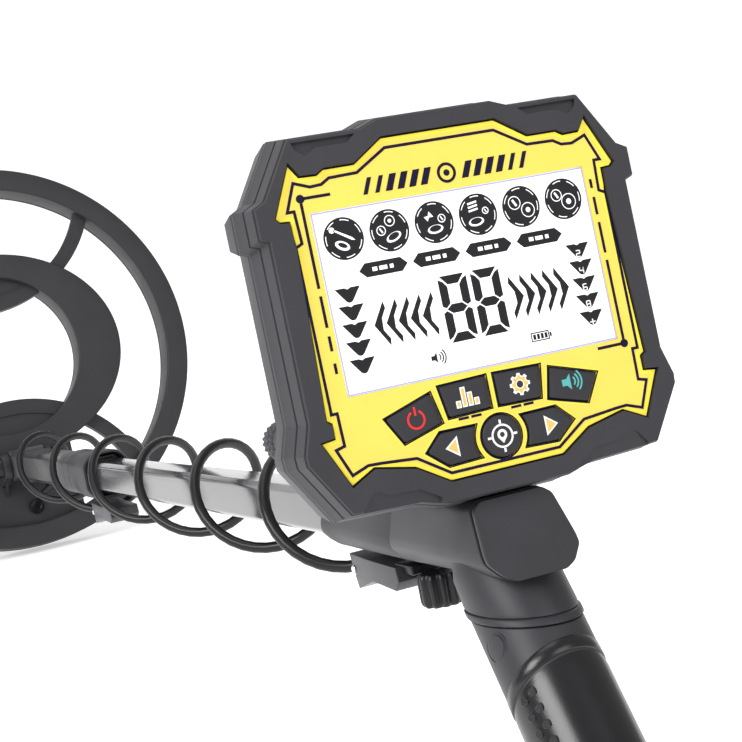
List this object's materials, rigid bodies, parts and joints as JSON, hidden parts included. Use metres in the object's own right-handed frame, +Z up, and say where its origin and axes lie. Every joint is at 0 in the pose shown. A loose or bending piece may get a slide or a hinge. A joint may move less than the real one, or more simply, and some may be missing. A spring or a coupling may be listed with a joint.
{
  "type": "metal detector",
  "caption": "Hand-held metal detector: flat control box with a yellow panel, leaning grip, armrest, telescoping stem with a wound cable and a round open search coil on a tilting fork.",
  "frame": {"origin": "middle of the footprint on the ground, cable left out: the coil rim and the foot pads stand on z = 0", "axes": "+X towards the search coil, +Y to the user's left, +Z up; the stem slopes 4.27 degrees down towards +X"},
  "size_m": [1.33, 0.3048, 0.3036],
  "materials": {
    "charcoal_plastic": "fine moulded texture",
    "black_plastic": "satin",
    "rubber_black": "matt",
    "grip_foam": "matt foam",
    "tube_grey": "anodised, glossy",
    "rod_charcoal": "matt glass-filled",
    "steel": "brushed",
    "panel_yellow": "printed film",
    "screen": "clear, reflective display",
    "display_module": "reflective display",
    "board_green": "lacquered",
    "battery_blue": "shrink sleeve",
    "key_rubber": "satin silicone",
    "cable_black": "satin sleeve",
    "winding_copper": "enamelled wire"
  },
  "bodies": {
    "frame": {"bezel": "charcoal_plastic", "back_shell": "charcoal_plastic", "panel_overlay": "panel_yellow", "lcd_window": "screen", "lcd_module": "display_module", "circuit_board": "board_green", "keypad_mat": "rubber_black", "speaker": "black_plastic", "battery": "battery_blue", "case_screw_1": "steel", "case_screw_2": "steel", "case_screw_3": "steel", "case_screw_4": "steel", "box_bracket": "charcoal_plastic", "housing": "charcoal_plastic", "housing_end_cap": "charcoal_plastic", "neck_ring": "black_plastic", "handle_core": "charcoal_plastic", "neck_plug": "black_plastic", "grip_sleeve": "grip_foam", "rear_elbow": "charcoal_plastic", "rear_tube": "tube_grey", "rear_plug": "black_plastic", "upper_tube": "tube_grey", "clamp_pin": "steel", "cable_stem": "cable_black"},
    "lower_rod": {"lower_tube": "rod_charcoal", "lock_collar": "charcoal_plastic", "lock_pin": "steel", "coil_yoke": "charcoal_plastic", "cable_rod": "cable_black"},
    "search_coil": {"coil_shell": "charcoal_plastic", "coil_cover": "black_plastic", "winding_outer": "winding_copper", "winding_inner": "winding_copper", "pivot_bolt": "black_plastic", "cable_gland": "black_plastic", "cable_tail": "cable_black"},
    "armrest": {"armrest_saddle": "charcoal_plastic", "armrest_cup": "charcoal_plastic", "armrest_pad": "grip_foam", "armrest_foot": "charcoal_plastic", "foot_pad_left": "rubber_black", "foot_pad_right": "rubber_black", "armrest_bolt": "steel"},
    "armrest_knob": {"armrest_knob": "black_plastic"},
    "pivot_knob": {"pivot_knob": "black_plastic"},
    "clamp_knob": {"clamp_knob": "black_plastic"},
    "clamp_lever": {"clamp_lever": "charcoal_plastic"},
    "lock_lever": {"lock_lever": "charcoal_plastic"},
    "jack_cap": {"jack_cap": "charcoal_plastic"},
    "cable_nut": {"cable_nut": "black_plastic"},
    "battery_door": {"battery_door": "charcoal_plastic"},
    "key_power": {"key_power": "key_rubber"},
    "key_sensitivity": {"key_sensitivity": "key_rubber"},
    "key_mode": {"key_mode": "key_rubber"},
    "key_volume": {"key_volume": "key_rubber"},
    "key_left": {"key_left": "key_rubber"},
    "key_pinpoint": {"key_pinpoint": "key_rubber"},
    "key_right": {"key_right": "key_rubber"}
  },
  "joints": [
    {"name": "stem_slide", "type": "slide", "parent": "frame", "child": "lower_rod", "axis": [0.9972, 0, -0.0745], "range_m": [-0.115, 0.04], "deforming": ["cable_stem"]},
    {"name": "coil_tilt", "type": "hinge", "parent": "lower_rod", "child": "search_coil", "pos_m": [0.56689, 0, 0.07197], "axis": [0, 1, 0], "range_deg": [-12, 60], "deforming": ["cable_tail"]},
    {"name": "lock_lever_turn", "type": "hinge", "parent": "lower_rod", "child": "lock_lever", "pos_m": [0.28603, 0, 0.07089], "axis": [0, -1, 0], "range_deg": [0, 80]},
    {"name": "clamp_lever_turn", "type": "hinge", "parent": "frame", "child": "clamp_lever", "pos_m": [-0.17496, 0, 0.10833], "axis": [0, -1, 0], "range_deg": [0, 90]},
    {"name": "clamp_knob_turn", "type": "hinge", "parent": "frame", "child": "clamp_knob", "pos_m": [-0.23313, 0.002, 0.11488], "axis": [-0.0745, 0, -0.9972], "continuous": true},
    {"name": "pivot_knob_turn", "type": "hinge", "parent": "search_coil", "child": "pivot_knob", "pos_m": [0.56689, 0, 0.07197], "axis": [0, -1, 0], "continuous": true},
    {"name": "armrest_slide", "type": "slide", "parent": "frame", "child": "armrest", "axis": [0.9972, 0, -0.0745], "range_m": [-0.03, 0.06]},
    {"name": "armrest_knob_turn", "type": "hinge", "parent": "armrest", "child": "armrest_knob", "pos_m": [-0.57717, 0, 0.01985], "axis": [0, -1, 0], "continuous": true},
    {"name": "jack_cap_turn", "type": "hinge", "parent": "frame", "child": "jack_cap", "pos_m": [-0.25955, 0.052, 0.17312], "axis": [0.9932, 0, -0.1164], "continuous": true},
    {"name": "cable_nut_turn", "type": "hinge", "parent": "frame", "child": "cable_nut", "pos_m": [-0.25967, -0.04, 0.17212], "axis": [0.9932, 0, -0.1164], "continuous": true},
    {"name": "battery_door_lift", "type": "slide", "parent": "frame", "child": "battery_door", "axis": [0.9932, 0, -0.1164], "range_m": [0, 0.012]},
    {"name": "key_power_press", "type": "slide", "parent": "frame", "child": "key_power", "axis": [0.9932, 0, -0.1164], "range_m": [0, 0.0008], "stiffness_N_per_m": 900, "springref_m": -0.0012},
    {"name": "key_sensitivity_press", "type": "slide", "parent": "frame", "child": "key_sensitivity", "axis": [0.9932, 0, -0.1164], "range_m": [0, 0.0008], "stiffness_N_per_m": 900, "springref_m": -0.0012},
    {"name": "key_mode_press", "type": "slide", "parent": "frame", "child": "key_mode", "axis": [0.9932, 0, -0.1164], "range_m": [0, 0.0008], "stiffness_N_per_m": 900, "springref_m": -0.0012},
    {"name": "key_volume_press", "type": "slide", "parent": "frame", "child": "key_volume", "axis": [0.9932, 0, -0.1164], "range_m": [0, 0.0008], "stiffness_N_per_m": 900, "springref_m": -0.0012},
    {"name": "key_left_press", "type": "slide", "parent": "frame", "child": "key_left", "axis": [0.9932, 0, -0.1164], "range_m": [0, 0.0008], "stiffness_N_per_m": 900, "springref_m": -0.0012},
    {"name": "key_pinpoint_press", "type": "slide", "parent": "frame", "child": "key_pinpoint", "axis": [0.9932, 0, -0.1164], "range_m": [0, 0.0008], "stiffness_N_per_m": 900, "springref_m": -0.0012},
    {"name": "key_right_press", "type": "slide", "parent": "frame", "child": "key_right", "axis": [0.9932, 0, -0.1164], "range_m": [0, 0.0008], "stiffness_N_per_m": 900, "springref_m": -0.0012}
  ]
}
